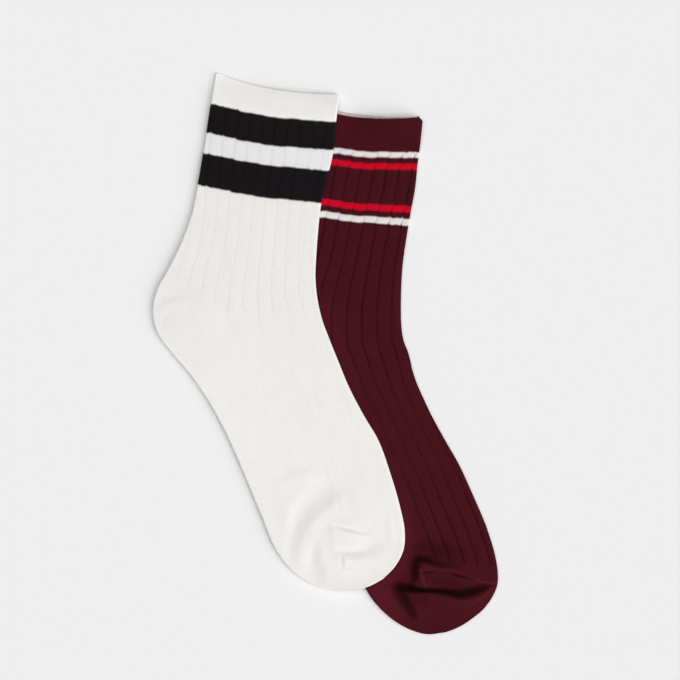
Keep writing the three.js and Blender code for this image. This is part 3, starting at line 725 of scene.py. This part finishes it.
def knit(name, plan, ground, bands, inner, tones, painted_groove_shade, mottle, sheen, painted_stitch_shade):
    """Knitted cotton. bands: (from row, to row, colour, width of its edge), in rows of the sock's table. inner: the colour of the
    inner face. tones: (row, brightness) along the sock."""
    m = bpy.data.materials.new(name)
    m.use_nodes = True
    n = Nodes(m)
    out = n.new("ShaderNodeOutputMaterial")
    shader = n.new("ShaderNodeBsdfPrincipled")
    n.tree.links.new(shader.outputs[0], out.inputs[0])
    uv = n.new("ShaderNodeUVMap", uv_map="Knit").outputs[0]
    parts = n.new("ShaderNodeSeparateXYZ")
    n.put(parts.inputs[0], uv)
    rib = parts.outputs[0]
    down = n.math("MULTIPLY", parts.outputs[1], 10.0)  # millimetres from the rim
    wale = n.math("MULTIPLY", rib, float(WALES_PER_RIB))
    wale = n.math("ADD", wale, 0.5)
    column = n.math("FLOOR", wale)
    side = n.math("SUBTRACT", n.math("FRACT", wale), 0.5)
    off = n.math("ABSOLUTE", side)

    place = n.new("ShaderNodeTexCoord").outputs["Object"]

    # one stitch is a V: two strands that slant down to the middle of the wale
    course = n.math("DIVIDE", down, COURSE)
    slant = n.math("MULTIPLY_ADD", off, -1.35, course)
    strand = n.math("MULTIPLY_ADD", n.math("COSINE", n.math("MULTIPLY", slant, 2 * math.pi)), 0.5, 0.5)
    hollow = n.math("POWER", n.math("MULTIPLY", off, 2.0), 3.0)
    centre = n.math("SUBTRACT", 1.0, n.step(off, 0.07, 0.12))
    stitch = n.math("MULTIPLY", n.math("MULTIPLY_ADD", strand, 0.62, 0.38), n.math("SUBTRACT", 1.0, n.math("MULTIPLY", hollow, 0.85)))
    stitch = n.math("SUBTRACT", stitch, n.math("MULTIPLY", centre, 0.22))
    fuzz = n.noise(place, 1900.0, 3.0, 0.65)

    groove = n.new("ShaderNodeAttribute", attribute_name="groove").outputs["Fac"]

    # the bands change colour at a stitch, so their edges are uneven from wale to wale and rib to rib
    one = n.new("ShaderNodeTexWhiteNoise", noise_dimensions="1D")
    n.put(one.inputs["W"], column)
    many = n.new("ShaderNodeTexWhiteNoise", noise_dimensions="1D")
    n.put(many.inputs["W"], n.math("ADD", n.math("FLOOR", rib), 77.3))
    jag = n.math("MULTIPLY", n.math("SUBTRACT", one.outputs["Value"], 0.5), 0.55)
    jag = n.math("MULTIPLY_ADD", n.math("SUBTRACT", many.outputs["Value"], 0.5), 0.7, jag)
    jag = n.math("MULTIPLY_ADD", n.math("SUBTRACT", off, 0.25), -2.3, jag)
    jag = n.math("MULTIPLY_ADD", groove, 0.6, jag)
    edge = n.math("ADD", down, jag)
    colour = n.new("ShaderNodeRGB").outputs[0]
    colour.default_value = (*ground, 1)
    banded, blackened = 0.0, 0.0
    for start, end, band, soft in bands:
        a, b = plan.along(np.array([start, end]))
        within = n.math("MULTIPLY", n.step(edge, float(a), soft), n.math("SUBTRACT", 1.0, n.step(edge, float(b), soft)))
        colour = n.mix(within, colour, band)
        if sum(band) > 0.1 > sum(ground):
            banded = n.math("ADD", banded, within)
        if sum(band) < 0.1:
            blackened = n.math("ADD", blackened, within)
    inside = n.new("ShaderNodeAttribute", attribute_name="inside").outputs["Fac"]
    colour = n.mix(inside, colour, inner)

    # painted shade between stitches and down in the grooves, and a tone that is a little uneven all over
    patchy = n.math("MULTIPLY_ADD", n.noise(place, 240.0, 2.0, 0.6), 1.8, 0.1)
    tone = n.math("MULTIPLY_ADD", n.math("MULTIPLY", groove, patchy), -painted_groove_shade, 1.0)
    # painted shade in the folds, and painted light where the value is negative, from the cloth's attribute
    deep = n.new("ShaderNodeAttribute", attribute_name="painted_shading").outputs["Fac"]
    tone = n.math("MULTIPLY", tone, n.math("SUBTRACT", 1.0, deep))
    tone = n.math("MULTIPLY", tone, n.math("MULTIPLY_ADD", stitch, painted_stitch_shade, 0.98 - painted_stitch_shade / 2))
    cloud = n.noise(place, 55.0, 3.0, 0.55)
    tone = n.math("MULTIPLY", tone, n.math("MULTIPLY_ADD", n.math("SUBTRACT", cloud, 0.5), mottle, 1.0))
    grain = n.noise(place, 850.0, 2.0, 0.6)
    tone = n.math("MULTIPLY", tone, n.math("MULTIPLY_ADD", n.math("SUBTRACT", grain, 0.5), mottle * 2.6, 1.0))
    # bright bands take less of it
    tone = n.math("MULTIPLY_ADD", n.math("SUBTRACT", tone, 1.0), n.math("MULTIPLY_ADD", banded, -0.6, 1.0), 1.0)
    tone = n.math("MULTIPLY", tone, tones[0][1])
    for (r0, t0), (r1, t1) in zip(tones[:-1], tones[1:]):
        a, b = plan.along(np.array([r0, r1]))
        n_map = n.new("ShaderNodeMapRange", interpolation_type="SMOOTHSTEP", clamp=True)
        n.put(n_map.inputs["Value"], down)
        n.put(n_map.inputs["From Min"], float(a))
        n.put(n_map.inputs["From Max"], float(b))
        n.put(n_map.inputs["To Max"], t1 / t0)
        n.put(n_map.inputs["To Min"], 1.0)
        tone = n.math("MULTIPLY", tone, n_map.outputs["Result"])
    # black yarn shows its grooves only by shade, so more painted shade goes into them
    tone = n.math("MULTIPLY", tone, n.math("MULTIPLY_ADD", n.math("MULTIPLY", blackened, groove), -0.42, 1.0))
    grey = n.new("ShaderNodeCombineXYZ")
    for i in range(3):
        n.put(grey.inputs[i], tone)
    colour = n.mix(1.0, colour, grey.outputs[0], "MULTIPLY")
    n.put(shader.inputs["Base Color"], colour)

    relief = n.math("ADD", stitch, n.math("MULTIPLY", fuzz, 0.5))
    bump = n.new("ShaderNodeBump")
    bump.inputs["Strength"].default_value = 0.55
    bump.inputs["Distance"].default_value = 0.16 * MM
    n.put(bump.inputs["Height"], relief)
    n.put(shader.inputs["Normal"], bump.outputs[0])

    shader.inputs["Roughness"].default_value = 0.92
    shader.inputs["Specular IOR Level"].default_value = 0.04
    shader.inputs["Sheen Weight"].default_value = sheen
    shader.inputs["Sheen Roughness"].default_value = 0.45
    shader.inputs["Sheen Tint"].default_value = (*[min(1.0, 1.2 * math.sqrt(c)) for c in ground], 1)
    return m


E = 1.05  # light on the floor, as a part of white
WHITE_GROUND = tuple(c / E for c in srgb(237, 235, 232))
BETWEEN = tuple(c / E for c in srgb(236, 236, 235))  # the white between the black bands is a little cooler
BLACK = tuple(c / E for c in srgb(24, 21, 24))
MAROON_GROUND = tuple(c / E for c in srgb(67, 18, 27))
RED = tuple(c / E for c in srgb(200, 9, 38))
BAND_WHITE = tuple(c / E for c in srgb(228, 220, 221))

WHITE_INNER = tuple(0.97 * c for c in WHITE_GROUND)
MAROON_INNER = tuple(c / E for c in srgb(208, 196, 195))  # the elastic yarn shows inside the welt
white_knit = knit(
    "white_knit",
    white_plan,
    WHITE_GROUND,
    [(1.5, 3.5, BETWEEN, 0.28), (1.0, 2.0, BLACK, 0.28), (3.0, 4.0, BLACK, 0.28)],
    WHITE_INNER,
    [(0.0, 1.055), (1.0, 1.05), (2.0, 0.965), (3.1, 0.965), (4.4, 1.025), (8.0, 1.025), (13.0, 1.045)],
    0.13,
    0.04,
    0.05,
    0.10,
)
maroon_knit = knit(
    "maroon_knit",
    maroon_plan,
    MAROON_GROUND,
    [(1.045, 1.49, BAND_WHITE, 0.3), (1.985, 2.275, RED, 0.9), (3.75, 4.02, RED, 0.9), (4.27, 4.525, BAND_WHITE, 0.3)],
    MAROON_INNER,
    [(0.0, 1.0), (14.0, 1.09), (21.0, 1.11)],
    0.42,
    0.22,
    0.05,
    0.16,
)
white.data.materials.append(white_knit)
maroon.data.materials.append(maroon_knit)

for piece, node, slot in ((white, "white_sock", "white_knit"), (maroon, "maroon_sock", "maroon_knit")):
    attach(piece, "root")
    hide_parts(node)


def cloth_area(plan):
    loop = plan.outline()
    nxt = np.roll(loop, -1, axis=0)
    return abs((loop[:, 0] * nxt[:, 1] - nxt[:, 0] * loop[:, 1]).sum()) / 2 * 2 * MM * MM


cloth_area(maroon_plan)
cloth_area(white_plan)

# ---- the floor, light and camera ----
bpy.ops.mesh.primitive_plane_add(size=6, location=(0, 0, -0.00005))
floor = bpy.context.object
floor.name = "floor"
paper = bpy.data.materials.new("floor_paper")
paper.use_nodes = True
pn = Nodes(paper)
po = pn.new("ShaderNodeOutputMaterial")
pd = pn.new("ShaderNodeBsdfDiffuse")
pd.inputs["Color"].default_value = (*[c / E for c in srgb(239, 239, 239)], 1)
pn.tree.links.new(pd.outputs[0], po.inputs[0])
floor.data.materials.append(paper)

scene = bpy.context.scene
world = bpy.data.worlds.new("studio")
world.use_nodes = True
world.node_tree.nodes["Background"].inputs[0].default_value = (1, 1, 1, 1)
world.node_tree.nodes["Background"].inputs[1].default_value = 0.10
scene.world = world


def sun(name, azimuth, elevation, strength, angle):
    """A soft light from a direction: azimuth from +X towards +Y, degrees above the floor."""
    data = bpy.data.lights.new(name, "SUN")
    data.energy = strength
    data.angle = math.radians(angle)
    o = bpy.data.objects.new(name, data)
    a, e = math.radians(azimuth), math.radians(elevation)
    way = (math.cos(e) * math.cos(a), math.cos(e) * math.sin(a), math.sin(e))
    from mathutils import Vector

    o.rotation_euler = Vector(way).to_track_quat("Z", "Y").to_euler()
    o.location = Vector(way) * 2
    scene.collection.objects.link(o)
    return o


KEY, TOP = 0.42, 0.53
KEY_UP = 36
sun("key", -30, KEY_UP, KEY * math.pi / math.sin(math.radians(KEY_UP)), 52)
sun("overhead", 90, 88, TOP * math.pi, 70)

LENS, SENSOR = 85.0, 36.0
cam = bpy.data.cameras.new("camera")
cam.lens = LENS
cam.sensor_width = SENSOR
cam.clip_start, cam.clip_end = 0.01, 20
camera = bpy.data.objects.new("camera", cam)
camera.location = (CAMERA_AT[0] * MM, CAMERA_AT[1] * MM, (PHOTO_MM * LENS / SENSOR + OUTLINE_UP) * MM)
camera.rotation_euler = (0, 0, 0)
scene.collection.objects.link(camera)
scene.camera = camera
scene.view_settings.view_transform = "Standard"
scene.view_settings.look = "None"
scene.view_settings.exposure = 0
scene.view_settings.gamma = 1

bpy.context.view_layer.update()
